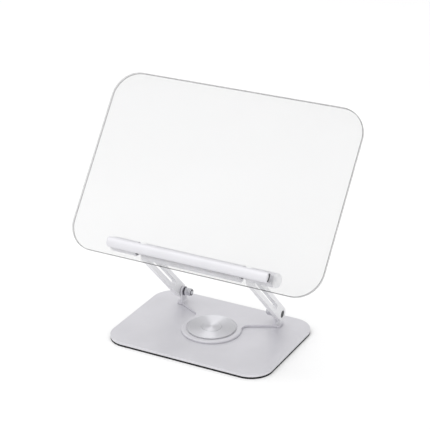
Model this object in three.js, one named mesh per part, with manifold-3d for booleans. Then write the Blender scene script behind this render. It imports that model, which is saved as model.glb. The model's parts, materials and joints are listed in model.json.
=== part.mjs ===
// Folding tablet stand with a clear panel, a 360 degree swivel base and two friction hinges.
//
// Millimetres, +Z up, +Y to the back, +X to the right of someone facing the panel.
// The origin is on the table under the middle of the base.
//
// The stand is four bodies in a chain: the base, the swivel on it, the pair of arms hinged to the
// swivel's ears, and the board (panel, barrel and stop bar) hinged to the arms' upper ends.
// Each body is a group in its own frame, so every piece is drawn where it is simplest to draw.

import * as THREE from 'three';
import { mergeVertices } from 'three/addons/utils/BufferGeometryUtils.js';
import Module from 'manifold-3d';

const wasm = await Module();
wasm.setup();

// ---------------------------------------------------------------- driving dimensions

const BASE_WIDTH = 200;
const BASE_DEPTH = 144.2;
const BASE_CORNER = 26;
const PAD_THICKNESS = 2.2;
const PLATE_THICKNESS = 2.8;
const BASE_TOP = PAD_THICKNESS + PLATE_THICKNESS;

const SWIVEL_Y = 2.5;
const SHEET = 2.5;
const YOKE_BOTTOM = BASE_TOP + 0.3;
const YOKE_TOP = YOKE_BOTTOM + SHEET;
const RING_RADIUS = 34.5;
const GROOVE_INNER = 27.2;
const GROOVE_OUTER = 29.3;
const DISC_RADIUS = 28.2;
const DISC_TOP = 9.1;
const CAP_RADIUS = 11.2;
const HUB_RADIUS = 8;
const FLANGE_RADIUS = 20;
const RETAINER_RADIUS = 21;

const LOWER_HINGE = { y: 45.5, z: 21.2 };
const EAR_INNER = 58.9;
const EAR_OUTER = EAR_INNER + SHEET;
const EAR_RADIUS = 5.2;
const FOOT_OUTER = 66.4;
const FOOT_CORNER = 3;
const YOKE_ARM_ANGLE = THREE.MathUtils.degToRad(28);
const YOKE_ARM_WIDTH = 18;

const ARM_LENGTH = 120.8;
const ARM_ELEVATION = THREE.MathUtils.degToRad(45.6);
const ARM_INNER = 62;
const ARM_OUTER = 68;
const ARM_DEPTH = 15.5;
const ARM_EYE = 5.4;
const ARM_NECK = 9.6;
const SLOT_HEIGHT = 5.2;
const SLOT_START = 20.5;
const SLOT_END = 102;
const LOWER_BOLT_RADIUS = 2.5;
const BOLT_HEAD_RADIUS = 4.1;

const BOARD_TILT = THREE.MathUtils.degToRad(53.4);
const PANEL_WIDTH = 307.2;
const PANEL_HEIGHT = 210.5;
const PANEL_THICKNESS = 4;
const PANEL_CORNER = 31;
const PANEL_BOTTOM = -14.8;
const PANEL_BACK = 7.5;
const PANEL_FRONT = PANEL_BACK + PANEL_THICKNESS;

const BARREL_RADIUS = 8.1;
const BARREL_BORE = 6.6;
const BARREL_HALF = 98.5;
const BARREL_END = 103.7;
const KEEL_RADIUS = 6.6;
const KEEL_DROP = 4;
const WINDOW_GAP = 1.6;
const PIVOT_RADIUS = 3;
const WINDOW_STRIP = THREE.MathUtils.degToRad(48);

const BAR_RADIUS = 5.8;
const BAR_Y = -1.5;
const BAR_Z = PANEL_FRONT + BAR_RADIUS + 0.25;
const BAR_END = 98;
const BAR_RECESS = 90;
const BAR_BORE = 5;
const BAR_FACE = BAR_END - 2.3;
const CLAMP_SCREW_X = [-86, -32, 32, 86];
const CLAMP_SCREW_Y = -1.2;
const CLAMP_SCREW_RADIUS = 1.5;

const FINE = 48;
const ROUND = 28;
const SMALL = 16;
const GAP = 0.3;
const RUNNING = 0.05;

// ---------------------------------------------------------------- solids

/** A closed three.js geometry as a solid. */
function solid(geometry) {
  const bare = geometry.clone();
  bare.deleteAttribute('normal');
  bare.deleteAttribute('uv');
  const merged = mergeVertices(bare, 1e-4);
  const vertProperties = new Float32Array(merged.attributes.position.array);
  const triVerts = new Uint32Array(merged.index.array);
  if (signedVolume(vertProperties, triVerts) < 0) {
    triVerts.reverse();
  }
  return new wasm.Manifold(new wasm.Mesh({ numProp: 3, vertProperties, triVerts }));
}

/** The volume inside a triangle list, negative when its faces point in. */
function signedVolume(positions, triangles) {
  const [a, b, c] = [new THREE.Vector3(), new THREE.Vector3(), new THREE.Vector3()];
  let sum = 0;
  for (let i = 0; i < triangles.length; i += 3) {
    a.fromArray(positions, triangles[i] * 3);
    b.fromArray(positions, triangles[i + 1] * 3);
    c.fromArray(positions, triangles[i + 2] * 3);
    sum += a.dot(b.cross(c));
  }
  return sum / 6;
}

/** A solid as a three.js geometry. */
function geometryOf(body) {
  const mesh = body.getMesh();
  const geometry = new THREE.BufferGeometry();
  geometry.setAttribute('position', new THREE.BufferAttribute(mesh.vertProperties, 3));
  geometry.setIndex(new THREE.BufferAttribute(mesh.triVerts, 1));
  geometry.computeVertexNormals();
  return geometry;
}

function joined(first, ...others) {
  return others.reduce((sum, piece) => sum.add(piece), first);
}

function cut(first, ...tools) {
  return tools.reduce((rest, tool) => rest.subtract(tool), first);
}

/** The same solid on the other side of the X = 0 plane. */
function mirrored(body) {
  return solid(geometryOf(body).scale(-1, 1, 1));
}

// ---------------------------------------------------------------- shapes

/** A cylinder along X from x0 to x1, centred on (y, z). */
function rodX(radius, x0, x1, y = 0, z = 0, segments = ROUND) {
  const geometry = new THREE.CylinderGeometry(radius, radius, x1 - x0, segments);
  geometry.rotateZ(Math.PI / 2);
  geometry.translate((x0 + x1) / 2, y, z);
  return solid(geometry);
}

/** A cylinder along Z from z0 to z1, centred on (x, y). */
function rodZ(radius, z0, z1, x = 0, y = 0, segments = ROUND) {
  const geometry = new THREE.CylinderGeometry(radius, radius, z1 - z0, segments);
  geometry.rotateX(Math.PI / 2);
  geometry.translate(x, y, (z0 + z1) / 2);
  return solid(geometry);
}

/** A [radius, height] outline turned about the Z axis. */
function turnedZ(outline, segments = ROUND) {
  const points = outline.map(([r, h]) => new THREE.Vector2(r, h));
  return solid(new THREE.LatheGeometry(points, segments).rotateX(Math.PI / 2));
}

/** A [radius, x] outline turned about the X axis. */
function turnedX(outline, segments = ROUND) {
  const points = outline.map(([r, h]) => new THREE.Vector2(r, h));
  return solid(new THREE.LatheGeometry(points, segments).rotateZ(-Math.PI / 2));
}

/** The radius of a faceted hole whose flats still clear a shaft of the given radius. */
function holeFor(shaft, segments) {
  return (shaft + RUNNING) / Math.cos(Math.PI / segments);
}

/** A flat washer about the X axis, bored for a shaft. */
function washerX(shaft, outer, x0, x1) {
  const inner = holeFor(shaft, SMALL);
  return turnedX([[inner, x0], [outer, x0], [outer, x1], [inner, x1], [inner, x0]], SMALL);
}

/** An outline in the XY plane raised from z0 to z1, with an optional chamfer on both rims. */
function raised(shape, z0, z1, chamfer = 0, curveSegments = 12) {
  const geometry = new THREE.ExtrudeGeometry(shape, {
    depth: z1 - z0 - 2 * chamfer,
    bevelEnabled: chamfer > 0,
    bevelThickness: chamfer,
    bevelSize: chamfer,
    bevelOffset: -chamfer,
    bevelSegments: 1,
    curveSegments,
  });
  return solid(geometry.translate(0, 0, z0 + chamfer));
}

/** An outline in the YZ plane (drawn as x = Y, y = Z) carried along X from x0 to x1. */
function acrossX(shape, x0, x1, chamfer = 0, curveSegments = 12) {
  const geometry = new THREE.ExtrudeGeometry(shape, {
    depth: x1 - x0 - 2 * chamfer,
    bevelEnabled: chamfer > 0,
    bevelThickness: chamfer,
    bevelSize: chamfer,
    bevelOffset: -chamfer,
    bevelSegments: 1,
    curveSegments,
  });
  geometry.translate(0, 0, x0 + chamfer);
  const toRow = new THREE.Matrix4().makeBasis(
    new THREE.Vector3(0, 1, 0), new THREE.Vector3(0, 0, 1), new THREE.Vector3(1, 0, 0));
  return solid(geometry.applyMatrix4(toRow));
}

function block(x0, x1, y0, y1, z0, z1) {
  const geometry = new THREE.BoxGeometry(x1 - x0, y1 - y0, z1 - z0);
  return solid(geometry.translate((x0 + x1) / 2, (y0 + y1) / 2, (z0 + z1) / 2));
}

/** A rectangle with round corners whose lower left corner is at (x0, y0). */
function roundedRectangle(x0, y0, width, height, radius) {
  const shape = new THREE.Shape();
  const [x1, y1] = [x0 + width, y0 + height];
  shape.moveTo(x0 + radius, y0);
  shape.absarc(x1 - radius, y0 + radius, radius, -Math.PI / 2, 0);
  shape.absarc(x1 - radius, y1 - radius, radius, 0, Math.PI / 2);
  shape.absarc(x0 + radius, y1 - radius, radius, Math.PI / 2, Math.PI);
  shape.absarc(x0 + radius, y0 + radius, radius, Math.PI, Math.PI * 1.5);
  return shape;
}

/** A slot outline with round ends, along the first axis from start to end. */
function slotOutline(start, end, height) {
  const radius = height / 2;
  const shape = new THREE.Shape();
  shape.moveTo(start + radius, -radius);
  shape.absarc(end - radius, 0, radius, -Math.PI / 2, Math.PI / 2);
  shape.absarc(start + radius, 0, radius, Math.PI / 2, Math.PI * 1.5);
  return shape;
}

/** A regular hexagon of the given width across flats. */
function hexagon(acrossFlats) {
  const shape = new THREE.Shape();
  for (let i = 0; i < 6; i += 1) {
    const angle = (i + 0.5) * Math.PI / 3;
    const corner = acrossFlats / Math.sqrt(3);
    shape[i ? 'lineTo' : 'moveTo'](corner * Math.cos(angle), corner * Math.sin(angle));
  }
  return shape;
}

// ---------------------------------------------------------------- finishes

const finishes = {
  anodised: { color: 0xd4d4da, roughness: 0.38, metalness: 0.85 },
  spun: { color: 0xdedee2, roughness: 0.25, metalness: 1 },
  steel: { color: 0xb8bac0, roughness: 0.3, metalness: 1 },
  blackSteel: { color: 0x2a2a30, roughness: 0.45, metalness: 0.7 },
  acrylic: { color: 0xf4f6f8, roughness: 0.04, metalness: 0 },
  rubber: { color: 0x141416, roughness: 0.9, metalness: 0 },
  silicone: { color: 0xdcdce0, roughness: 0.5, metalness: 0 },
  nylon: { color: 0xe6e6e2, roughness: 0.6, metalness: 0 },
  whitePlastic: { color: 0xf0f0f2, roughness: 0.35, metalness: 0 },
};

const materials = Object.fromEntries(
  Object.entries(finishes).map(([name, look]) => [name, new THREE.MeshStandardMaterial(look)]));

function piece(name, body, finish) {
  const mesh = new THREE.Mesh(geometryOf(body), materials[finish]);
  mesh.name = name;
  return mesh;
}

/** A piece drawn on the right, and its mirror image on the left. */
function pair(name, body, finish) {
  return [piece(`${name}_right`, body, finish), piece(`${name}_left`, mirrored(body), finish)];
}

// ---------------------------------------------------------------- base

const POCKET_RADIUS = 23;
const POCKET_CEILING = 3.6;

function basePlate() {
  const outline = roundedRectangle(
    -BASE_WIDTH / 2, -BASE_DEPTH / 2, BASE_WIDTH, BASE_DEPTH, BASE_CORNER);
  const body = raised(outline, PAD_THICKNESS, BASE_TOP, 0.5, 10);
  const hubHole = rodZ(holeFor(HUB_RADIUS, ROUND), 0, BASE_TOP + 1, 0, SWIVEL_Y);
  const pocket = rodZ(POCKET_RADIUS, 0, POCKET_CEILING, 0, SWIVEL_Y);
  return piece('base_plate', cut(body, hubHole, pocket), 'anodised');
}

/** The rubber pad under the whole base, with a blind pocket above its skin for the retainer. */
function basePad() {
  const inset = 0.1;
  const skin = 0.8;
  const outline = roundedRectangle(
    inset - BASE_WIDTH / 2, inset - BASE_DEPTH / 2,
    BASE_WIDTH - 2 * inset, BASE_DEPTH - 2 * inset, BASE_CORNER - inset);
  const body = raised(outline, 0, PAD_THICKNESS, 0, 10);
  const pocket = rodZ(POCKET_RADIUS, skin, PAD_THICKNESS + 1, 0, SWIVEL_Y);
  return piece('base_pad', cut(body, pocket), 'rubber');
}

/** The low-friction ring that the yoke turns on. It is glued to the base plate. */
function glideRing() {
  const [bottom, top] = [BASE_TOP, YOKE_BOTTOM - RUNNING];
  const [inner, outer] = [HUB_RADIUS + 4, RING_RADIUS - 0.8];
  const outline = [[inner, bottom], [outer, bottom], [outer, top], [inner, top], [inner, bottom]];
  const ring = turnedZ(outline, FINE).translate([0, SWIVEL_Y, 0]);
  return piece('glide_ring', ring, 'nylon');
}

// ---------------------------------------------------------------- swivel, drawn about its own axis

/** One arm of the yoke in plan, from inside the ring to the foot under the right arm. */
function yokeArmOutline() {
  const front = LOWER_HINGE.y - SWIVEL_Y - EAR_RADIUS;
  const run = new THREE.Vector2(Math.cos(YOKE_ARM_ANGLE), Math.sin(YOKE_ARM_ANGLE));
  const across = new THREE.Vector2(-run.y, run.x).multiplyScalar(YOKE_ARM_WIDTH);
  const footStart = new THREE.Vector2(EAR_OUTER - 2, front);
  const frontStart = footStart.clone().addScaledVector(run, -46);
  const rearStart = frontStart.clone().add(across);
  const rearEnd = footStart.clone().add(across);
  const shape = new THREE.Shape();
  shape.moveTo(frontStart.x, frontStart.y);
  shape.lineTo(footStart.x, footStart.y);
  shape.absarc(FOOT_OUTER - FOOT_CORNER, front + FOOT_CORNER, FOOT_CORNER, -Math.PI / 2, 0);
  shape.absarc(FOOT_OUTER - 6, rearEnd.y - 6, 6, 0, Math.PI / 2);
  shape.lineTo(rearEnd.x, rearEnd.y);
  shape.lineTo(rearStart.x, rearStart.y);
  return shape;
}

/** The concave web that eases the ring's edge into the front edge of the right arm. */
function ringFillet() {
  const radius = 8;
  const frontEnd = new THREE.Vector2(EAR_OUTER - 2, LOWER_HINGE.y - SWIVEL_Y - EAR_RADIUS);
  const normal = new THREE.Vector2(Math.sin(YOKE_ARM_ANGLE), -Math.cos(YOKE_ARM_ANGLE));
  const run = new THREE.Vector2(Math.cos(YOKE_ARM_ANGLE), Math.sin(YOKE_ARM_ANGLE));
  const lineOffset = frontEnd.dot(normal) + radius;
  const reach = Math.sqrt((RING_RADIUS + radius) ** 2 - lineOffset ** 2);
  const centre = normal.clone().multiplyScalar(lineOffset).addScaledVector(run, reach);
  const onLine = centre.clone().addScaledVector(normal, -radius);
  const onRing = centre.clone().multiplyScalar(RING_RADIUS / (RING_RADIUS + radius));
  const inside = onLine.clone().addScaledVector(run, -14).addScaledVector(normal, -1);
  const start = Math.atan2(onLine.y - centre.y, onLine.x - centre.x);
  const end = Math.atan2(onRing.y - centre.y, onRing.x - centre.x);
  const shape = new THREE.Shape();
  shape.absarc(centre.x, centre.y, radius, start, end < start ? end + 2 * Math.PI : end);
  shape.lineTo(inside.x, inside.y);
  return shape;
}

/** The upright ear on the right, with a round top about the lower hinge and a flared root. */
function ear() {
  const y = LOWER_HINGE.y - SWIVEL_Y;
  const shape = new THREE.Shape();
  shape.moveTo(y - EAR_RADIUS, YOKE_BOTTOM);
  shape.lineTo(y + EAR_RADIUS + 3, YOKE_BOTTOM);
  shape.lineTo(y + EAR_RADIUS + 3, YOKE_TOP);
  shape.quadraticCurveTo(y + EAR_RADIUS, YOKE_TOP, y + EAR_RADIUS, YOKE_TOP + 4);
  shape.absarc(y, LOWER_HINGE.z, EAR_RADIUS, 0, Math.PI);
  return joined(
    acrossX(shape, EAR_INNER, EAR_OUTER, 0, 12),
    earRoot(EAR_INNER, -2.4),
    earRoot(EAR_OUTER, 3));
}

/** The fillet at the foot of one side of the ear, which runs out over the given reach. */
function earRoot(x, reach) {
  const inside = x - 0.5 * Math.sign(reach);
  const rise = 2.6;
  const shape = new THREE.Shape();
  shape.moveTo(inside, YOKE_TOP - 0.5);
  shape.lineTo(x + reach, YOKE_TOP - 0.5);
  shape.lineTo(x + reach, YOKE_TOP);
  shape.quadraticCurveTo(x, YOKE_TOP, x, YOKE_TOP + rise);
  shape.lineTo(inside, YOKE_TOP + rise);
  const length = 2 * EAR_RADIUS - 0.8;
  const web = new THREE.ExtrudeGeometry(shape, { depth: length, bevelEnabled: false, curveSegments: 6 });
  return solid(web.rotateX(Math.PI / 2).translate(0, LOWER_HINGE.y - SWIVEL_Y + length / 2, 0));
}

function yoke() {
  const ring = turnedZ([
    [0, YOKE_BOTTOM], [RING_RADIUS, YOKE_BOTTOM], [RING_RADIUS, YOKE_TOP - 0.9],
    [RING_RADIUS - 0.9, YOKE_TOP], [0, YOKE_TOP],
  ], FINE);
  const arm = joined(
    raised(yokeArmOutline(), YOKE_BOTTOM, YOKE_TOP, 0, 6),
    raised(ringFillet(), YOKE_BOTTOM, YOKE_TOP, 0, 8),
    ear());
  const hingeY = LOWER_HINGE.y - SWIVEL_Y;
  const boltHole = rodX(holeFor(LOWER_BOLT_RADIUS, SMALL), -70, 70, hingeY, LOWER_HINGE.z, SMALL);
  const groove = turnedZ([
    [GROOVE_INNER, YOKE_TOP - 0.4], [GROOVE_OUTER, YOKE_TOP - 0.4],
    [GROOVE_OUTER, YOKE_TOP + 1], [GROOVE_INNER, YOKE_TOP + 1], [GROOVE_INNER, YOKE_TOP - 0.4],
  ], FINE);
  const seat = rodZ(holeFor(FLANGE_RADIUS, ROUND), YOKE_TOP - 1.3, YOKE_TOP + 1);
  const hole = rodZ(holeFor(HUB_RADIUS, ROUND), 0, 20);
  return piece('yoke', cut(joined(ring, arm, mirrored(arm)), groove, seat, hole, boltHole), 'anodised');
}

const RETAINER_BOTTOM = 2;
const RETAINER_TOP = 3.2;
const RETAINER_SCREW_CIRCLE = 4.8;
const RETAINER_SCREW_ANGLES = [90, 210, 330].map(THREE.MathUtils.degToRad);

/** A countersunk screw pointing up, its flat head flush with the retainer's underside. */
function countersunk(clearance) {
  const [head, shank, top] = [2 + clearance, 1.1 + clearance, YOKE_TOP - 2.4 + clearance];
  return [
    [0, RETAINER_BOTTOM], [head, RETAINER_BOTTOM], [shank, RETAINER_BOTTOM + head - shank],
    [shank, top], [0, top],
  ];
}

function retainerScrewBodies(clearance) {
  return RETAINER_SCREW_ANGLES.map((angle) => turnedZ(countersunk(clearance), SMALL).translate([
    RETAINER_SCREW_CIRCLE * Math.cos(angle), RETAINER_SCREW_CIRCLE * Math.sin(angle), 0]));
}

/** The spindle: its flange clamps the yoke, its shaft turns in the base plate. */
function hub() {
  const bottom = RETAINER_TOP + 0.02;
  const flangeBottom = YOKE_TOP - 1.25;
  const body = turnedZ([
    [0, bottom], [HUB_RADIUS, bottom], [HUB_RADIUS, flangeBottom], [FLANGE_RADIUS, flangeBottom],
    [FLANGE_RADIUS, YOKE_TOP - 0.05], [0, YOKE_TOP - 0.05],
  ]);
  return piece('swivel_hub', cut(body, ...retainerScrewBodies(RUNNING)), 'steel');
}

function retainer() {
  const body = rodZ(RETAINER_RADIUS, RETAINER_BOTTOM, RETAINER_TOP);
  return piece('swivel_retainer', cut(body, ...retainerScrewBodies(RUNNING)), 'steel');
}

function lowerGlide() {
  const [inner, outer, bottom, top] = [HUB_RADIUS + 0.3, RETAINER_RADIUS, 3.25, 3.55];
  const outline = [[inner, bottom], [outer, bottom], [outer, top], [inner, top], [inner, bottom]];
  return piece('lower_glide_washer', turnedZ(outline), 'nylon');
}

/** The spun disc that covers the hub, a shallow dish with a hole for the centre cap. */
function coverDisc() {
  const bottom = YOKE_TOP + RUNNING;
  const hole = CAP_RADIUS + 0.4;
  return piece('cover_disc', turnedZ([
    [hole, bottom], [DISC_RADIUS, bottom], [DISC_RADIUS, DISC_TOP - 0.4],
    [DISC_RADIUS - 0.5, DISC_TOP], [DISC_RADIUS - 2, DISC_TOP], [hole, DISC_TOP - 0.3], [hole, bottom],
  ], FINE), 'spun');
}

function centreCap() {
  const bottom = YOKE_TOP + RUNNING;
  return piece('centre_cap', turnedZ([
    [0, bottom], [CAP_RADIUS, bottom], [CAP_RADIUS, DISC_TOP - 0.35],
    [CAP_RADIUS - 0.4, DISC_TOP - 0.1], [0, DISC_TOP + 0.15],
  ]), 'spun');
}

// ---------------------------------------------------------------- arms, from the lower hinge along +Y

/** The arm in side view: round about the lower hinge, necked to an eye inside the barrel. */
function armOutline() {
  const half = ARM_DEPTH / 2;
  const neck = ARM_NECK / 2;
  const neckStart = ARM_LENGTH - 14;
  const neckEnd = ARM_LENGTH - 9.2;
  const eyeAngle = Math.asin(neck / ARM_EYE);
  const shape = new THREE.Shape();
  shape.moveTo(0, -half);
  shape.lineTo(neckStart, -half);
  shape.quadraticCurveTo(neckEnd - 2, -half, neckEnd, -neck);
  shape.absarc(ARM_LENGTH, 0, ARM_EYE, Math.PI + eyeAngle, 3 * Math.PI - eyeAngle);
  shape.lineTo(neckEnd, neck);
  shape.quadraticCurveTo(neckEnd - 2, half, neckStart, half);
  shape.lineTo(0, half);
  shape.absarc(0, 0, half, Math.PI / 2, Math.PI * 1.5);
  return shape;
}

function arms() {
  const body = acrossX(armOutline(), ARM_INNER, ARM_OUTER, 0.4, 14);
  const slot = acrossX(slotOutline(SLOT_START, SLOT_END, SLOT_HEIGHT), 50, 80, 0, 8);
  const lowerHole = rodX(holeFor(LOWER_BOLT_RADIUS, SMALL), 50, 80, 0, 0, SMALL);
  const headSeat = rodX(BOLT_HEAD_RADIUS + 0.2, ARM_OUTER - 3, 80, 0, 0, 24);
  const upperHole = rodX(holeFor(PIVOT_RADIUS, SMALL), 50, 80, ARM_LENGTH, 0, SMALL);
  return pair('arm', cut(body, slot, lowerHole, headSeat, upperHole), 'anodised');
}

/** The lower hinge bolt: a low socket head sunk in the arm, its end through the two nuts. */
function lowerBolt() {
  const [headTop, headSeat, tip] = [ARM_OUTER - 1.4, ARM_OUTER - 2.95, 48.4];
  const body = turnedX([
    [0, tip], [LOWER_BOLT_RADIUS - 0.6, tip], [LOWER_BOLT_RADIUS, tip + 0.8],
    [LOWER_BOLT_RADIUS, headSeat], [BOLT_HEAD_RADIUS, headSeat],
    [BOLT_HEAD_RADIUS, headTop], [0, headTop],
  ], SMALL);
  return pair('hinge_bolt', cut(body, acrossX(hexagon(3), headTop - 1, headTop + 1)), 'steel');
}

/** The dark plug that closes the bolt's seat, just under the arm's outer face. */
function boltPlug() {
  const [bottom, top] = [ARM_OUTER - 1.35, ARM_OUTER - 0.25];
  return pair('bolt_plug', turnedX([
    [0, bottom], [BOLT_HEAD_RADIUS + 0.1, bottom], [BOLT_HEAD_RADIUS + 0.1, top - 0.3],
    [BOLT_HEAD_RADIUS - 0.3, top], [0, top],
  ], 24), 'blackSteel');
}

/** The nut that sets the hinge's friction, and the lock nut with its dark locking ring. */
function lowerNuts() {
  const hole = rodX(holeFor(LOWER_BOLT_RADIUS, SMALL), 40, 70, 0, 0, SMALL);
  const collar = rodX(3.9, 49.2, 51, 0, 0, 24);
  const ring = [[2.75, 48.9], [3.6, 48.9], [3.6, 49.15], [2.75, 49.15], [2.75, 48.9]];
  return [
    ...pair('hinge_nut', cut(acrossX(hexagon(8), 53.2, 56.8), hole), 'steel'),
    ...pair('lock_nut', cut(joined(acrossX(hexagon(8), 50.2, 53), collar), hole), 'steel'),
    ...pair('lock_ring', turnedX(ring, 24), 'blackSteel'),
  ];
}

function discSpring() {
  const [inner, outer] = [LOWER_BOLT_RADIUS + 0.25, 5.4];
  return pair('disc_spring', turnedX([
    [inner, 57.2], [outer, 57.8], [outer, 58.5], [inner, 57.9], [inner, 57.2],
  ], 24), 'blackSteel');
}

function frictionWasher() {
  return pair('friction_washer', washerX(LOWER_BOLT_RADIUS + 0.1, 5.2, 61.5, 61.9), 'blackSteel');
}

// ---------------------------------------------------------------- board, from the barrel's axis
// +Y runs up the panel, +Z out of its front face.

function panel() {
  const outline = roundedRectangle(
    -PANEL_WIDTH / 2, PANEL_BOTTOM, PANEL_WIDTH, PANEL_HEIGHT, PANEL_CORNER);
  const holes = CLAMP_SCREW_X.map((x) => rodZ(2, 0, 20, x, CLAMP_SCREW_Y, SMALL));
  const body = raised(outline, PANEL_BACK, PANEL_FRONT, 0.4, 12);
  return piece('clear_panel', cut(body, ...holes), 'acrylic');
}

/** What the arm sweeps as the board turns: all of the tube but the strip that holds the panel. */
function armWindow() {
  const reach = 14;
  const [start, end] = [Math.PI / 2 + WINDOW_STRIP, Math.PI * 2.5 - WINDOW_STRIP];
  const shape = new THREE.Shape();
  shape.absarc(0, 0, reach, start, end);
  shape.lineTo(0, 0);
  return acrossX(shape, ARM_INNER - WINDOW_GAP, ARM_OUTER + WINDOW_GAP, 0, 10);
}

/** The tube behind the panel, with a keel between the arms, two arm windows and screw holes. */
function barrel() {
  const keelEnd = ARM_INNER - WINDOW_GAP - 0.4;
  const tube = joined(
    rodX(BARREL_RADIUS, -BARREL_HALF, BARREL_HALF, 0, 0, 36),
    rodX(KEEL_RADIUS, -keelEnd, keelEnd, -KEEL_DROP, 0, 36));
  const bore = rodX(BARREL_BORE, -BARREL_HALF - 1, BARREL_HALF + 1, 0, 0, 24);
  const seat = block(-120, 120, -20, 20, PANEL_BACK - GAP, 20);
  const window = armWindow();
  const holes = CLAMP_SCREW_X.flatMap((x) => [
    rodZ(1.8, 0, 20, x, CLAMP_SCREW_Y, SMALL), rodZ(3, -20, 0, x, CLAMP_SCREW_Y, SMALL)]);
  return piece('barrel', cut(tube, bore, seat, window, mirrored(window), ...holes), 'anodised');
}

function barrelCaps() {
  const plug = BARREL_BORE - 0.15;
  const [inside, rim] = [BARREL_HALF - 3, BARREL_HALF + 0.1];
  const cap = turnedX([
    [0, inside], [plug, inside], [plug, rim], [BARREL_RADIUS, rim], [BARREL_RADIUS, rim + 1.6],
    [BARREL_RADIUS - 0.5, rim + 3.2], [BARREL_RADIUS - 1.5, BARREL_END - 0.8],
    [BARREL_RADIUS - 3.2, BARREL_END], [0, BARREL_END],
  ], ROUND);
  const seat = block(-120, 120, -20, 20, PANEL_BACK - GAP, 20);
  return pair('barrel_cap', cut(cap, seat), 'anodised');
}

/** The pivot that holds the arm's eye in the barrel: anchor, washers, bush, spring and bolt. */
function upperPivot() {
  const body = BARREL_BORE - 0.15;
  const bolt = turnedX([
    [0, 48], [PIVOT_RADIUS - 0.6, 48], [PIVOT_RADIUS, 48.6], [PIVOT_RADIUS, 78.4],
    [5, 78.4], [5, 81.4], [0, 81.4],
  ], SMALL);
  const spring = turnedX([[3.3, 76.2], [5.9, 76.9], [5.9, 78.1], [3.3, 77.4], [3.3, 76.2]], SMALL);
  return [
    ...pair('pivot_bolt', cut(bolt, acrossX(hexagon(4), 79.4, 82)), 'steel'),
    ...pair('pivot_anchor', washerX(PIVOT_RADIUS, body, 49, 60.3), 'blackSteel'),
    ...pair('pivot_bush', washerX(PIVOT_RADIUS, body, 69.7, 76), 'blackSteel'),
    ...pair('pivot_washer_inner', washerX(PIVOT_RADIUS, 5.2, 60.5, 61.7), 'blackSteel'),
    ...pair('pivot_washer_outer', washerX(PIVOT_RADIUS, 5.2, 68.3, 69.5), 'blackSteel'),
    ...pair('pivot_spring', spring, 'steel'),
  ];
}

/** The stop bar in front of the panel: screwed from behind, recessed at both ends for the plugs. */
function stopBar() {
  const rod = turnedX([
    [0, -BAR_END], [BAR_RADIUS - 0.5, -BAR_END], [BAR_RADIUS, -BAR_END + 0.5],
    [BAR_RADIUS, BAR_END - 0.5], [BAR_RADIUS - 0.5, BAR_END], [0, BAR_END],
  ], 36).translate([0, BAR_Y, BAR_Z]);
  const recess = rodX(BAR_BORE, BAR_RECESS, BAR_END + 1, BAR_Y, BAR_Z);
  const holes = CLAMP_SCREW_X.map((x) => rodZ(
    holeFor(CLAMP_SCREW_RADIUS, SMALL), 0, BAR_Z + 4, x, CLAMP_SCREW_Y, SMALL));
  const seat = block(-120, 120, -20, 20, 0, BAR_Z - BAR_RADIUS + 0.35);
  return piece('stop_bar', cut(rod, recess, mirrored(recess), ...holes, seat), 'anodised');
}

/** The light plug in each end of the bar, set a little below the rim. */
function barPlugs() {
  const radius = BAR_BORE * Math.cos(Math.PI / ROUND) - 0.05;
  return pair('bar_plug', turnedX([
    [0, BAR_RECESS + 0.3], [radius, BAR_RECESS + 0.3], [radius, BAR_FACE - 0.4],
    [radius - 0.4, BAR_FACE], [0, BAR_FACE],
  ]).translate([0, BAR_Y, BAR_Z]), 'whitePlastic');
}

/** The thin black ring that lines the recess in front of the plug. */
function barRings() {
  const outer = BAR_BORE * Math.cos(Math.PI / ROUND) - 0.03;
  const [start, end, inner] = [BAR_FACE + 0.05, BAR_FACE + 0.8, outer - 0.35];
  const outline = [[inner, start], [outer, start], [outer, end], [inner, end], [inner, start]];
  return pair('bar_ring', turnedX(outline).translate([0, BAR_Y, BAR_Z]), 'rubber');
}

/** Two clear silicone strips that fill the gap between the round bar and the flat panel. */
function barGaskets() {
  const [bottom, top] = [PANEL_FRONT + GAP, PANEL_FRONT + 2.6];
  const seat = rodX(BAR_RADIUS + 0.15, -120, 120, BAR_Y, BAR_Z, 36);
  const strip = (y0, y1) => cut(block(-97, 97, BAR_Y + y0, BAR_Y + y1, bottom, top), seat);
  return [
    piece('bar_gasket_upper', strip(2.9, 4.9), 'silicone'),
    piece('bar_gasket_lower', strip(-4.9, -2.9), 'silicone'),
  ];
}

/** The screws that clamp barrel, panel and stop bar together, put in through the barrel. */
function clampScrews() {
  const [headStart, headEnd, tip] = [2.9, 5.1, BAR_Z + 3];
  const socket = raised(hexagon(2.5), headStart - 1, headStart + 1.2);
  const body = cut(turnedZ([
    [0, headStart], [2.6, headStart], [2.6, headEnd], [CLAMP_SCREW_RADIUS, headEnd],
    [CLAMP_SCREW_RADIUS, tip - 0.5], [CLAMP_SCREW_RADIUS - 0.5, tip], [0, tip],
  ], SMALL), socket);
  return CLAMP_SCREW_X.map((x, index) => piece(
    `clamp_screw_${index + 1}`, body.translate([x, CLAMP_SCREW_Y, 0]), 'steel'));
}

// ---------------------------------------------------------------- assembly

const base = new THREE.Group();
base.add(basePlate(), basePad(), glideRing());

const swivel = new THREE.Group();
swivel.position.y = SWIVEL_Y;
swivel.add(yoke(), hub(), retainer(), lowerGlide(), coverDisc(), centreCap());
retainerScrewBodies(0).forEach((body, index) => {
  swivel.add(piece(`retainer_screw_${index + 1}`, body, 'steel'));
});

const armPair = new THREE.Group();
armPair.position.set(0, LOWER_HINGE.y, LOWER_HINGE.z);
armPair.rotation.x = Math.PI - ARM_ELEVATION;
armPair.add(
  ...arms(), ...lowerBolt(), ...boltPlug(), ...lowerNuts(), ...discSpring(), ...frictionWasher());

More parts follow.
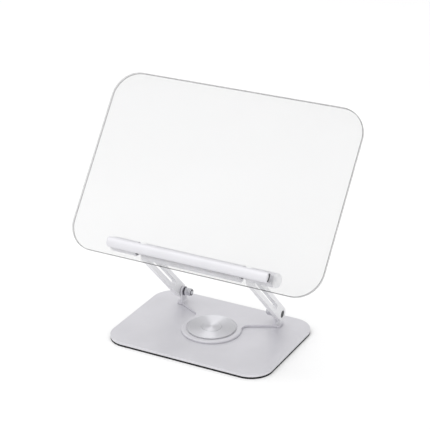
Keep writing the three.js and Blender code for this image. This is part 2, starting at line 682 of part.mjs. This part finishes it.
const board = new THREE.Group();
board.position.set(
  0,
  LOWER_HINGE.y - ARM_LENGTH * Math.cos(ARM_ELEVATION),
  LOWER_HINGE.z + ARM_LENGTH * Math.sin(ARM_ELEVATION));
board.rotation.x = BOARD_TILT;
board.add(
  panel(), barrel(), ...barrelCaps(), ...upperPivot(),
  stopBar(), ...barPlugs(), ...barRings(), ...barGaskets(), ...clampScrews());

const stand = new THREE.Group();
stand.add(base, swivel, armPair, board);

export default stand;
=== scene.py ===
"""A folding tablet stand: clear panel, stop bar, hinge barrel, slotted arms and a swivelling base.

Metres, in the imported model's frame: +Z up, +Y to the back, the origin on the table under the base.
Pieces are made with mesh code, in millimetres in their own body's frame, and then put in place.
"""

import json
import math

import bmesh
import bpy
from mathutils import Matrix, Vector


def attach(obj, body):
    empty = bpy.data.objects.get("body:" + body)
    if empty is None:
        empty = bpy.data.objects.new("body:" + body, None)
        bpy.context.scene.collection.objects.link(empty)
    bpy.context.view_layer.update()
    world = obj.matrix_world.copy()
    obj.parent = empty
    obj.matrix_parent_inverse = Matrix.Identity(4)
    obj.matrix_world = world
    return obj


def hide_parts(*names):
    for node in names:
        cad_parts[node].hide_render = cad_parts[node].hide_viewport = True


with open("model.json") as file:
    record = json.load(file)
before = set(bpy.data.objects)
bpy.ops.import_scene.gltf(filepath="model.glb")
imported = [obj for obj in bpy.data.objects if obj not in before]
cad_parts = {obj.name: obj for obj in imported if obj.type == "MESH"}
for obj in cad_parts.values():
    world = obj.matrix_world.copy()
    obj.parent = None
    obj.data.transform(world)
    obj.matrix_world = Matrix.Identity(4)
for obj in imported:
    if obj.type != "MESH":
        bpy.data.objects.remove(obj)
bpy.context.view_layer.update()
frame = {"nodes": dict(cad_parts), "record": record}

MM = 0.001
JOINTS = {joint["name"]: joint for joint in frame["record"]["behaviour"]["joints"]}
SWIVEL = Vector(JOINTS["base_swivel"]["pos_m"])
LOWER = Vector(JOINTS["lower_hinge"]["pos_m"])
UPPER = Vector(JOINTS["upper_hinge"]["pos_m"])
PANEL_NORMAL = Vector(next(m["axis"] for m in frame["record"]["mounts"] if m["name"] == "panel_front"))

# ------------------------------------------------------------------ dimensions (mm)

BASE_WIDTH, BASE_DEPTH, BASE_CORNER = 200.0, 144.2, 26.0
PAD_THICKNESS, PAD_INSET, BASE_TOP = 2.2, 0.1, 5.0
DISC_RADIUS, DISC_BOTTOM, DISC_TOP = 28.2, 7.85, 9.1
CAP_RADIUS, CAP_GAP = 11.2, 0.15
ARM_LENGTH, ARM_DEPTH, ARM_EYE, ARM_NECK = 120.8, 15.5, 5.4, 9.6
ARM_INNER, ARM_OUTER = 62.0, 68.0
NECK_START, NECK_END = ARM_LENGTH - 14, ARM_LENGTH - 9.2
BOLT_SEAT_RADIUS, BOLT_SEAT_DEPTH, BOLT_SEAT_SIDES = 4.35, 2.95, 40
SLOT_START, SLOT_END, SLOT_HEIGHT = 20.5, 102.0, 5.2
PANEL_WIDTH, PANEL_HEIGHT, PANEL_CORNER = 307.2, 210.5, 31.0
PANEL_BOTTOM, PANEL_BACK, PANEL_FRONT = -14.8, 7.5, 11.5
BARREL_RADIUS, BARREL_HALF, BARREL_END, BARREL_SEAT = 8.1, 98.5, 103.7, PANEL_BACK - 0.3
BAR_RADIUS, BAR_END, BAR_RECESS, BAR_FACE, BAR_BORE = 5.8, 98.0, 90.0, 95.7, 5.0
BAR_Y, BAR_Z = -1.5, PANEL_FRONT + BAR_RADIUS + 0.25
BAR_ROUND_DEPTH, BAR_ROUND_LENGTH = 0.65, 1.6

# ------------------------------------------------------------------ body frames

ROW = Matrix.Scale(MM, 4)
SWIVEL_FRAME = Matrix.Translation((SWIVEL.x, SWIVEL.y, 0)) @ ROW
ARM_RISE = math.atan2(UPPER.z - LOWER.z, LOWER.y - UPPER.y)
ARM_FRAME = Matrix.Translation(LOWER) @ Matrix.Rotation(math.pi - ARM_RISE, 4, "X") @ ROW
BOARD_TILT = math.atan2(-PANEL_NORMAL.y, PANEL_NORMAL.z)
BOARD_FRAME = Matrix.Translation(UPPER) @ Matrix.Rotation(BOARD_TILT, 4, "X") @ ROW


# ------------------------------------------------------------------ node materials

class Look:
    """A Principled material being put together."""

    def __init__(self, name, **sockets):
        self.material = bpy.data.materials.new(name)
        self.material.use_nodes = True
        self.tree = self.material.node_tree
        self.shader = self.tree.nodes["Principled BSDF"]
        for socket, value in sockets.items():
            self.set(socket.replace("_", " "), value)

    def set(self, socket, value):
        if isinstance(value, tuple) and len(value) == 3:
            value = (*value, 1.0)
        self.shader.inputs[socket].default_value = value

    def node(self, kind, links=None, **values):
        node = self.tree.nodes.new(kind)
        for key, value in values.items():
            if hasattr(node, key):
                setattr(node, key, value)
            else:
                node.inputs[key.replace("_", " ")].default_value = value
        for socket, source in (links or {}).items():
            self.tree.links.new(source, node.inputs[socket])
        return node

    def link(self, source, socket):
        self.tree.links.new(source, self.shader.inputs[socket])

    def coords(self, location=(0, 0, 0)):
        """Object coordinates, moved by location."""
        source = self.node("ShaderNodeTexCoord").outputs["Object"]
        moved = self.node("ShaderNodeVectorMath", {0: source}, operation="ADD")
        moved.inputs[1].default_value = location
        return moved.outputs[0]

    def noise(self, vector, scale, detail=3.0, roughness=0.55):
        return self.node("ShaderNodeTexNoise", {"Vector": vector}, Scale=scale, Detail=detail,
                         Roughness=roughness).outputs["Fac"]

    def spread(self, value, low, high, start=0.3, end=0.7):
        """value from start to end, mapped to low to high."""
        node = self.node("ShaderNodeMapRange", {"Value": value})
        for socket, number in (("From Min", start), ("From Max", end), ("To Min", low), ("To Max", high)):
            node.inputs[socket].default_value = number
        return node.outputs["Result"]

    def blend(self, factor, first, second):
        node = self.node("ShaderNodeMix", {"Factor": factor}, data_type="RGBA")
        for socket in node.inputs:
            if socket.type == "RGBA":
                socket.default_value = (*(first if socket.identifier.startswith("A") else second), 1.0)
        return node.outputs[2]

    def bump(self, height, distance, strength):
        node = self.node("ShaderNodeBump", {"Height": height}, Distance=distance, Strength=strength)
        return node.outputs["Normal"]


def anodised(name, colour, roughness, metallic):
    """Bead-blasted and anodised aluminium: an even satin with a fine grain."""
    look = Look(name, Metallic=metallic)
    vector = look.coords()
    grain = look.noise(vector, 5200.0, 2.0)
    cloud = look.noise(vector, 28.0, 4.0)
    darker = tuple(0.95 * c for c in colour)
    look.link(look.blend(look.spread(cloud, 0.0, 1.0), darker, colour), "Base Color")
    look.link(look.spread(grain, roughness - 0.05, roughness + 0.06), "Roughness")
    look.link(look.bump(grain, 0.000012, 0.55), "Normal")
    return look.material


def spun(name, colour, centre):
    """Aluminium faced on a lathe: fine rings, and highlights that fan out from the centre."""
    look = Look(name, Metallic=1.0, Anisotropic=1.0, Anisotropic_Rotation=0.25)
    vector = look.coords(location=(-centre.x, -centre.y, 0))
    fine = look.node("ShaderNodeTexWave", {"Vector": vector}, wave_type="RINGS", rings_direction="Z",
                     Scale=900.0, Distortion=1.2, Detail=2.0).outputs["Fac"]
    coarse = look.node("ShaderNodeTexWave", {"Vector": vector}, wave_type="RINGS", rings_direction="Z",
                       Scale=170.0, Distortion=2.0, Detail=3.0).outputs["Fac"]
    dark = tuple(0.9 * c for c in colour)
    look.link(look.blend(look.spread(coarse, 0.0, 1.0, 0.0, 1.0), dark, colour), "Base Color")
    look.link(look.spread(fine, 0.44, 0.52, 0.0, 1.0), "Roughness")
    tangent = look.node("ShaderNodeTangent", direction_type="RADIAL", axis="Z").outputs["Tangent"]
    look.link(tangent, "Tangent")
    look.link(look.bump(fine, 0.000008, 0.5), "Normal")
    return look.material


def metal(name, colour, roughness):
    """Plated or blackened steel hardware, with a slight mottle."""
    look = Look(name, Metallic=1.0)
    vector = look.coords()
    mottle = look.noise(vector, 2600.0)
    darker = tuple(0.85 * c for c in colour)
    look.link(look.blend(look.spread(mottle, 0.0, 1.0), darker, colour), "Base Color")
    look.link(look.spread(mottle, roughness - 0.06, roughness + 0.08), "Roughness")
    look.link(look.bump(mottle, 0.00002, 0.4), "Normal")
    return look.material


def plastic(name, colour, roughness, texture=0.00002, scale=3400.0, **sockets):
    """Moulded plastic, rubber or silicone with a fine spark-eroded texture."""
    look = Look(name, **sockets)
    vector = look.coords()
    grain = look.noise(vector, scale, 2.0)
    cloud = look.noise(vector, 90.0, 3.0)
    shade = tuple(0.93 * c for c in colour)
    look.link(look.blend(look.spread(cloud, 0.0, 1.0), shade, colour), "Base Color")
    look.link(look.spread(grain, roughness - 0.06, roughness + 0.06), "Roughness")
    look.link(look.bump(grain, texture, 0.6), "Normal")
    return look.material


def clear(name, colour, alpha, roughness=0.04):
    """Polished acrylic, see-through by its alpha, with a trace of surface haze."""
    look = Look(name, Base_Color=colour, IOR=1.49, Alpha=alpha)
    vector = look.coords()
    haze = look.noise(vector, 60.0, 3.0)
    look.link(look.spread(haze, 0.6 * roughness, 1.4 * roughness), "Roughness")
    look.material.surface_render_method = "BLENDED"
    return look.material


def floor_look(name):
    look = Look(name, Roughness=0.9)
    vector = look.coords()
    cloud = look.noise(vector, 3.0, 3.0)
    look.link(look.blend(look.spread(cloud, 0.0, 1.0), (0.96, 0.96, 0.96), (0.98, 0.98, 0.98)), "Base Color")
    look.set("Specular IOR Level", 0.1)
    return look.material


ALUMINIUM = anodised("anodised aluminium", (0.71, 0.703, 0.737), 0.42, 0.6)
ARM_ALUMINIUM = anodised("blasted anodised aluminium", (0.84, 0.84, 0.855), 0.55, 0.3)
BAR_ALUMINIUM = anodised("satin anodised bar", (0.76, 0.755, 0.785), 0.6, 0.45)
TUBE_ALUMINIUM = anodised("satin anodised tube", (0.81, 0.805, 0.835), 0.5, 0.3)
CAP_ALUMINIUM = anodised("pale anodised cap", (0.96, 0.96, 0.975), 0.5, 0.15)
SPUN = spun("spun aluminium", (0.85, 0.848, 0.88), SWIVEL)
STEEL = metal("zinc plated steel", (0.60, 0.60, 0.63), 0.26)
# Black oxide is the pivot hardware's finish, and its darkness there is also painted shade for the barrel's
# window gaps beside the arms.
BLACK_STEEL_AND_GAP_SHADE = metal("black oxide steel and painted gap shade", (0.05, 0.048, 0.056), 0.4)
SPRING_STEEL = metal("blued spring steel", (0.20, 0.195, 0.22), 0.34)
RUBBER = plastic("black rubber", (0.008, 0.008, 0.009), 0.8, 0.00006, 1500.0, Specular_IOR_Level=0.25)
SILICONE = plastic("clear silicone", (0.72, 0.72, 0.73), 0.5, Transmission_Weight=0.35)
LIGHT_PLASTIC = plastic("light satin plastic", (0.80, 0.80, 0.82), 0.33, Coat_Weight=0.2)
BLACK_PLASTIC = plastic("black plastic", (0.018, 0.018, 0.02), 0.4)
NYLON = plastic("nylon", (0.78, 0.78, 0.74), 0.5)
CLEAR_FACE = clear("clear acrylic face", (0.40, 0.40, 0.41), 0.13)
# The rim and edge colours are painted shade: near-black chamfers and grey sides stand in for the dark lines
# that refraction draws along clear acrylic's edges.
ACRYLIC_RIM_PAINTED_SHADE = clear("acrylic rim with painted refraction shade", (0.02, 0.02, 0.022), 0.78, 0.35)
ACRYLIC_EDGE_PAINTED_SHADE = clear("acrylic edge with painted refraction shade", (0.22, 0.22, 0.23), 0.34, 0.1)


# ------------------------------------------------------------------ mesh helpers

def finish_piece(name, bm, matrix, material, body, slot_name, replaced=(), bevel=0.0, segments=3, angle=40):
    """A mesh drawn in millimetres becomes a piece in place on its body."""
    bmesh.ops.remove_doubles(bm, verts=bm.verts, dist=1e-5)
    bmesh.ops.recalc_face_normals(bm, faces=bm.faces)
    mesh = bpy.data.meshes.new(name)
    bm.to_mesh(mesh)
    bm.free()
    mesh.transform(matrix)
    if matrix.determinant() < 0:
        mesh.flip_normals()
    obj = bpy.data.objects.new(name, mesh)
    bpy.context.scene.collection.objects.link(obj)
    materials = material if isinstance(material, list) else [material]
    for entry in materials:
        mesh.materials.append(entry)
    soften(obj, bevel * MM, segments, angle)
    if replaced:
        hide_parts(*replaced)
    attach(obj, body)
    return obj


def soften(obj, width, segments=3, angle=40):
    """Smooth shading, with sharp edges rounded to the given width."""
    for polygon in obj.data.polygons:
        polygon.use_smooth = True
    if width > 0:
        bevel = obj.modifiers.new("edge radius", "BEVEL")
        bevel.width = width
        bevel.segments = segments
        bevel.limit_method = "ANGLE"
        bevel.angle_limit = math.radians(angle)
        bevel.harden_normals = True
        bevel.use_clamp_overlap = True
    normals = obj.modifiers.new("normals", "WEIGHTED_NORMAL")
    normals.keep_sharp = True
    normals.weight = 80


def arc(cx, cy, radius, start, end, steps):
    """Points on an arc, angles in degrees."""
    angles = [math.radians(start + (end - start) * i / steps) for i in range(steps + 1)]
    return [(cx + radius * math.cos(a), cy + radius * math.sin(a)) for a in angles]


def rounded_rectangle(x0, y0, width, height, radius, steps=24):
    x1, y1 = x0 + width, y0 + height
    return (arc(x1 - radius, y0 + radius, radius, -90, 0, steps)
            + arc(x1 - radius, y1 - radius, radius, 0, 90, steps)
            + arc(x0 + radius, y1 - radius, radius, 90, 180, steps)
            + arc(x0 + radius, y0 + radius, radius, 180, 270, steps))


def plate(outlines, low, high, place=lambda u, v, w: (u, v, w)):
    """A flat plate from closed outlines, the first its rim and the rest holes. place orders the axes."""
    bm = bmesh.new()
    for outline in outlines:
        verts = [bm.verts.new(place(u, v, low)) for u, v in outline]
        for a, b in zip(verts, verts[1:] + verts[:1]):
            bm.edges.new((a, b))
    bmesh.ops.remove_doubles(bm, verts=bm.verts, dist=1e-4)
    bmesh.ops.triangle_fill(bm, edges=bm.edges[:], use_beauty=True)
    bmesh.ops.dissolve_limit(bm, angle_limit=0.01, verts=bm.verts, edges=[])
    caps = bmesh.ops.extrude_face_region(bm, geom=bm.faces[:])
    rise = Vector(place(0, 0, high)) - Vector(place(0, 0, low))
    moved = [item for item in caps["geom"] if isinstance(item, bmesh.types.BMVert)]
    bmesh.ops.translate(bm, verts=moved, vec=rise)
    return bm


def turned(outline, segments=96, axis="Z", centre=(0, 0, 0)):
    """A [radius, height] outline turned about an axis."""
    bm = bmesh.new()
    rings = []
    for radius, height in outline:
        ring = []
        count = 1 if radius < 1e-6 else segments
        for i in range(count):
            a = 2 * math.pi * i / segments
            u, v = radius * math.cos(a), radius * math.sin(a)
            point = (u, v, height) if axis == "Z" else (height, u, v)
            ring.append(bm.verts.new(Vector(point) + Vector(centre)))
        rings.append(ring)
    for low, high in zip(rings, rings[1:]):
        for i in range(segments):
            j = (i + 1) % segments
            corners = [low[i % len(low)], low[j % len(low)], high[j % len(high)], high[i % len(high)]]
            unique = list(dict.fromkeys(corners))
            if len(unique) > 2:
                bm.faces.new(unique)
    return bm


def quarter(radius_from, radius_to, height_from, height_to, steps=10):
    """A quarter ellipse in [radius, height], for domes and rolled rims."""
    points = []
    for i in range(steps + 1):
        a = math.pi / 2 * i / steps
        points.append((radius_to + (radius_from - radius_to) * math.cos(a),
                       height_from + (height_to - height_from) * math.sin(a)))
    return points


def both_sides(name, build, matrix, *args, **keys):
    """The piece that build() draws on the right, and its mirror image on the left."""
    for side, sign in (("right", 1), ("left", -1)):
        replaced = tuple(f"{node}_{side}" for node in keys.get("replaced", ()))
        options = {**keys, "replaced": replaced}
        finish_piece(f"{name}_{side}", build(), matrix @ Matrix.Diagonal((sign, 1, 1, 1)), *args, **options)


# ------------------------------------------------------------------ base

finish_piece(
    "base_plate_satin",
    plate([rounded_rectangle(-BASE_WIDTH / 2, -BASE_DEPTH / 2, BASE_WIDTH, BASE_DEPTH, BASE_CORNER)],
          PAD_THICKNESS, BASE_TOP),
    ROW, ALUMINIUM, "base", "anodised_aluminium", ("base_plate",), bevel=0.45)

finish_piece(
    "base_pad_rubber",
    plate([rounded_rectangle(-BASE_WIDTH / 2 + PAD_INSET, -BASE_DEPTH / 2 + PAD_INSET,
                             BASE_WIDTH - 2 * PAD_INSET, BASE_DEPTH - 2 * PAD_INSET,
                             BASE_CORNER - PAD_INSET)], 0, PAD_THICKNESS - 0.02),
    ROW, RUBBER, "base", "black_rubber", ("base_pad",), bevel=0.2)

# ------------------------------------------------------------------ swivel

finish_piece(
    "swivel_disc",
    turned([(CAP_RADIUS + CAP_GAP, DISC_BOTTOM), (DISC_RADIUS, DISC_BOTTOM), (DISC_RADIUS, DISC_TOP - 0.8),
            (DISC_RADIUS - 0.1, DISC_TOP - 0.5), (DISC_RADIUS - 0.35, DISC_TOP - 0.22),
            (DISC_RADIUS - 0.75, DISC_TOP - 0.06), (DISC_RADIUS - 1.2, DISC_TOP),
            (DISC_RADIUS - 1.9, DISC_TOP), (DISC_RADIUS - 2.3, DISC_TOP - 0.18),
            (CAP_RADIUS + 0.75, DISC_TOP - 0.42), (CAP_RADIUS + 0.25, DISC_TOP - 0.5),
            (CAP_RADIUS + CAP_GAP, DISC_TOP - 0.65), (CAP_RADIUS + CAP_GAP, DISC_BOTTOM)], 160),
    SWIVEL_FRAME, SPUN, "swivel", "spun_aluminium", ("cover_disc",))

finish_piece(
    "swivel_cap",
    turned([(0, DISC_BOTTOM), (CAP_RADIUS, DISC_BOTTOM), (CAP_RADIUS, DISC_TOP - 0.45),
            (CAP_RADIUS - 0.15, DISC_TOP - 0.28), (CAP_RADIUS - 0.5, DISC_TOP - 0.2),
            (CAP_RADIUS * 0.6, DISC_TOP - 0.02), (CAP_RADIUS * 0.3, DISC_TOP + 0.1),
            (0, DISC_TOP + 0.14)], 128),
    SWIVEL_FRAME, SPUN, "swivel", "spun_aluminium", ("centre_cap",))


# ------------------------------------------------------------------ arms

def arm_outline(steps=18):
    half, neck = ARM_DEPTH / 2, ARM_NECK / 2
    eye = math.degrees(math.asin(neck / ARM_EYE))
    control = (NECK_END - 2, half)

    def shoulder(sign, forwards, count=8):
        """The curve between the arm's full depth and its neck."""
        points = []
        for i in range(count + 1):
            t = i / count if forwards else 1 - i / count
            a, b, c = (1 - t) ** 2, 2 * t * (1 - t), t * t
            points.append((a * NECK_START + b * control[0] + c * NECK_END,
                           sign * (a * half + b * control[1] + c * neck)))
        return points

    return (shoulder(-1, True) + arc(ARM_LENGTH, 0, ARM_EYE, -180 + eye, 180 - eye, 2 * steps)
            + shoulder(1, False) + arc(0, 0, half, 90, 270, 2 * steps))


def slot_outline(start, end, height, steps=12):
    radius = height / 2
    return arc(end - radius, 0, radius, -90, 90, steps) + arc(start + radius, 0, radius, 90, 270, steps)


def along_x(u, v, w):
    return (w, u, v)


def arm_whole():
    """The arm with its slot and the blind seat for the bolt's head."""
    outlines = [arm_outline(), slot_outline(SLOT_START, SLOT_END, SLOT_HEIGHT)]
    bm = plate(outlines, ARM_INNER, ARM_OUTER, along_x)
    outer = [face for face in bm.faces if all(abs(v.co.x - ARM_OUTER) < 1e-4 for v in face.verts)]
    bmesh.ops.delete(bm, geom=outer, context="FACES_ONLY")
    rim = [edge for edge in bm.edges if edge.is_boundary]
    seat = arc(0, 0, BOLT_SEAT_RADIUS, 0, 360 - 360 / BOLT_SEAT_SIDES, BOLT_SEAT_SIDES - 1)
    verts = [bm.verts.new((ARM_OUTER, u, v)) for u, v in seat]
    hole = [bm.edges.new((a, b)) for a, b in zip(verts, verts[1:] + verts[:1])]
    bmesh.ops.triangle_fill(bm, edges=rim + hole, use_beauty=True)
    inner = [face for face in bm.faces if all(v in verts for v in face.verts)]
    bmesh.ops.delete(bm, geom=inner, context="FACES_ONLY")
    floor = [bm.verts.new((ARM_OUTER - BOLT_SEAT_DEPTH, v.co.y, v.co.z)) for v in verts]
    for i in range(len(verts)):
        j = (i + 1) % len(verts)
        bm.faces.new((verts[i], verts[j], floor[j], floor[i]))
    bm.faces.new(floor)
    bmesh.ops.dissolve_limit(bm, angle_limit=0.01, verts=bm.verts, edges=bm.edges)
    return bm


both_sides("arm_bar", arm_whole, ARM_FRAME, ARM_ALUMINIUM, "arms", "anodised_aluminium",
           replaced=("arm",), bevel=0.3)


# ------------------------------------------------------------------ board

def panel_sheet(chamfer=0.5):
    """The sheet with chamfered rims. Its faces, edge and chamfers have material slots 0, 1 and 2."""
    def ring(inset, z):
        outline = rounded_rectangle(-PANEL_WIDTH / 2 + inset, PANEL_BOTTOM + inset, PANEL_WIDTH - 2 * inset,
                                    PANEL_HEIGHT - 2 * inset, PANEL_CORNER - inset, 32)
        return [bm.verts.new((x, y, z)) for x, y in outline]

    bm = bmesh.new()
    rings = [ring(chamfer, PANEL_BACK), ring(0, PANEL_BACK + chamfer), ring(0, PANEL_FRONT - chamfer),
             ring(chamfer, PANEL_FRONT)]
    for (low, high), slot in zip(zip(rings, rings[1:]), (2, 1, 2)):
        for i in range(len(low)):
            j = (i + 1) % len(low)
            bm.faces.new((low[i], low[j], high[j], high[i])).material_index = slot
    bm.faces.new(rings[0])
    bm.faces.new(rings[-1])
    return bm


# The edge and chamfer slots carry painted shade for the dark refraction lines along the sheet's edges.
finish_piece("panel_clear", panel_sheet(), BOARD_FRAME, [CLEAR_FACE, ACRYLIC_EDGE_PAINTED_SHADE, ACRYLIC_RIM_PAINTED_SHADE], "board",
             "clear_acrylic", ("clear_panel",))


def bar_rod():
    """The round bar, recessed at both ends for its plugs."""
    side = [(0, BAR_RECESS), (BAR_BORE, BAR_RECESS), (BAR_BORE, BAR_END - 0.12), (BAR_BORE + 0.12, BAR_END)]
    side += quarter(BAR_RADIUS, BAR_RADIUS - BAR_ROUND_DEPTH, BAR_END - BAR_ROUND_LENGTH, BAR_END)[::-1]
    return turned([(r, -x) for r, x in side] + side[::-1], 96, "X", (0, BAR_Y, BAR_Z))


finish_piece("stop_bar_round", bar_rod(), BOARD_FRAME, BAR_ALUMINIUM, "board", "anodised_aluminium",
             ("stop_bar",))


def bar_end():
    """A light plug with a slightly domed face."""
    radius = BAR_BORE - 0.08
    outline = [(0, BAR_RECESS + 0.3), (radius, BAR_RECESS + 0.3), (radius, BAR_FACE - 0.4)]
    outline += quarter(radius, radius - 0.4, BAR_FACE - 0.4, BAR_FACE - 0.05, 4)[1:]
    return turned(outline + [(0, BAR_FACE)], 72, "X", (0, BAR_Y, BAR_Z))


def bar_liner():
    """The thin black ring that lines the recess."""
    start, end, outer, inner = BAR_FACE + 0.05, BAR_FACE + 0.8, BAR_BORE - 0.07, BAR_BORE - 0.4
    return turned([(inner, start), (outer, start), (outer, end), (inner, end), (inner, start)],
                  72, "X", (0, BAR_Y, BAR_Z))


both_sides("bar_end", bar_end, BOARD_FRAME, LIGHT_PLASTIC, "board", "light_plastic", replaced=("bar_plug",))
both_sides("bar_liner", bar_liner, BOARD_FRAME, RUBBER, "board", "black_rubber", replaced=("bar_ring",))


def barrel_end():
    """A domed cap on the barrel's end, with a flat where the panel lies."""
    rim = BARREL_HALF + 0.12
    outline = [(0, rim), (BARREL_RADIUS - 0.15, rim), (BARREL_RADIUS, rim + 0.15)]
    outline += quarter(BARREL_RADIUS, 4.2, rim + 1.2, BARREL_END, 12) + [(0, BARREL_END)]
    bm = turned(outline, 72, "X")
    everything = bm.verts[:] + bm.edges[:] + bm.faces[:]
    seat = bmesh.ops.bisect_plane(bm, geom=everything, plane_co=(0, 0, BARREL_SEAT),
                                  plane_no=(0, 0, 1), clear_outer=True)
    cut = [item for item in seat["geom_cut"] if isinstance(item, bmesh.types.BMEdge)]
    bmesh.ops.edgeloop_fill(bm, edges=cut)
    return bm


both_sides("barrel_end", barrel_end, BOARD_FRAME, CAP_ALUMINIUM, "board", "anodised_aluminium",
           replaced=("barrel_cap",), bevel=0.2, angle=20)

# ------------------------------------------------------------------ finishes on the CAD pieces

CAD_LOOKS = {
    "glide_ring": NYLON, "lower_glide_washer": NYLON, "yoke": ALUMINIUM, "swivel_hub": STEEL,
    "swivel_retainer": STEEL, "retainer_screw": STEEL, "hinge_bolt": STEEL, "bolt_plug": BLACK_PLASTIC,
    "hinge_nut": STEEL, "lock_nut": STEEL, "lock_ring": BLACK_PLASTIC,
    "disc_spring": SPRING_STEEL, "friction_washer": SPRING_STEEL, "barrel": TUBE_ALUMINIUM,
    # The pivot parts' black is partly painted shade for the window gaps beside the arms.
    "pivot_bolt": STEEL, "pivot_anchor": BLACK_STEEL_AND_GAP_SHADE, "pivot_bush": BLACK_STEEL_AND_GAP_SHADE, "pivot_washer": BLACK_STEEL_AND_GAP_SHADE,
    "pivot_spring": STEEL, "bar_gasket": SILICONE, "clamp_screw": STEEL,
}
CAD_BEVEL_SEGMENTS, CAD_BEVEL_ANGLE = 2, 24
CAD_BEVELS = {
    "yoke": 0.25, "hinge_nut": 0.3, "lock_nut": 0.3, "bolt_plug": 0.15, "hinge_bolt": 0.15,
    "disc_spring": 0.2, "barrel": 0.2, "clamp_screw": 0.15, "pivot_bolt": 0.15,
}


def family(node):
    """The longest entry of CAD_LOOKS that the node's name starts with, if there is one."""
    matches = [key for key in CAD_LOOKS if node == key or node.startswith(key + "_")]
    return max(matches, key=len) if matches else None


for node, obj in frame["nodes"].items():
    key = family(node)
    if key is None:
        continue
    obj.data.materials.clear()
    obj.data.materials.append(CAD_LOOKS[key])
    soften(obj, CAD_BEVELS.get(key, 0.0) * MM, CAD_BEVEL_SEGMENTS, CAD_BEVEL_ANGLE)

# ------------------------------------------------------------------ floor, light and camera

floor_bm = bmesh.new()
bmesh.ops.create_grid(floor_bm, x_segments=1, y_segments=1, size=30.0)
floor_mesh = bpy.data.meshes.new("floor")
floor_bm.to_mesh(floor_mesh)
floor_bm.free()
floor = bpy.data.objects.new("floor", floor_mesh)
floor_mesh.materials.append(floor_look("pale floor"))
bpy.context.scene.collection.objects.link(floor)


def aim(obj, target):
    obj.rotation_euler = (Vector(target) - obj.location).to_track_quat("-Z", "Y").to_euler()


def softbox(name, location, turn, size, power):
    """A rectangular light facing straight down, turned about the vertical."""
    light = bpy.data.lights.new(name, "AREA")
    light.shape = "RECTANGLE"
    light.size, light.size_y = size
    light.energy = power
    obj = bpy.data.objects.new(name, light)
    obj.location = location
    obj.rotation_euler.z = math.radians(turn)
    bpy.context.scene.collection.objects.link(obj)


softbox("top", (-0.42, -0.05, 1.5), 28.0, (1.3, 0.5), 4.6)

bpy.context.scene.view_settings.view_transform = "Standard"

SKY_MEAN = 0.98
SKY_SLOPE = (-0.08, -0.2, 0.0)

world = bpy.data.worlds.new("studio")
world.use_nodes = True
nodes, links = world.node_tree.nodes, world.node_tree.links
heading = nodes.new("ShaderNodeTexCoord")
slope = nodes.new("ShaderNodeVectorMath")
slope.operation = "DOT_PRODUCT"
slope.inputs[1].default_value = SKY_SLOPE
level = nodes.new("ShaderNodeMath")
level.operation = "ADD"
level.inputs[1].default_value = SKY_MEAN
nodes["Background"].inputs["Color"].default_value = (1.0, 1.0, 1.0, 1.0)
links.new(heading.outputs["Generated"], slope.inputs[0])
links.new(slope.outputs["Value"], level.inputs[0])
links.new(level.outputs["Value"], nodes["Background"].inputs["Strength"])
bpy.context.scene.world = world

CAMERA_TARGET = Vector((0.0056, 0.0, 0.1487))
CAMERA_AZIMUTH, CAMERA_ELEVATION, CAMERA_DISTANCE = 27.88, 23.77, 1.661
FIELD_OF_VIEW = 16.08

azimuth, elevation = math.radians(CAMERA_AZIMUTH), math.radians(CAMERA_ELEVATION)
direction = Vector((math.sin(azimuth) * math.cos(elevation), -math.cos(azimuth) * math.cos(elevation),
                    math.sin(elevation)))
camera_data = bpy.data.cameras.new("camera")
camera_data.angle = math.radians(FIELD_OF_VIEW)
camera_data.clip_end = 100.0
camera = bpy.data.objects.new("camera", camera_data)
camera.location = CAMERA_TARGET + CAMERA_DISTANCE * direction
bpy.context.scene.collection.objects.link(camera)
aim(camera, CAMERA_TARGET)
bpy.context.scene.camera = camera
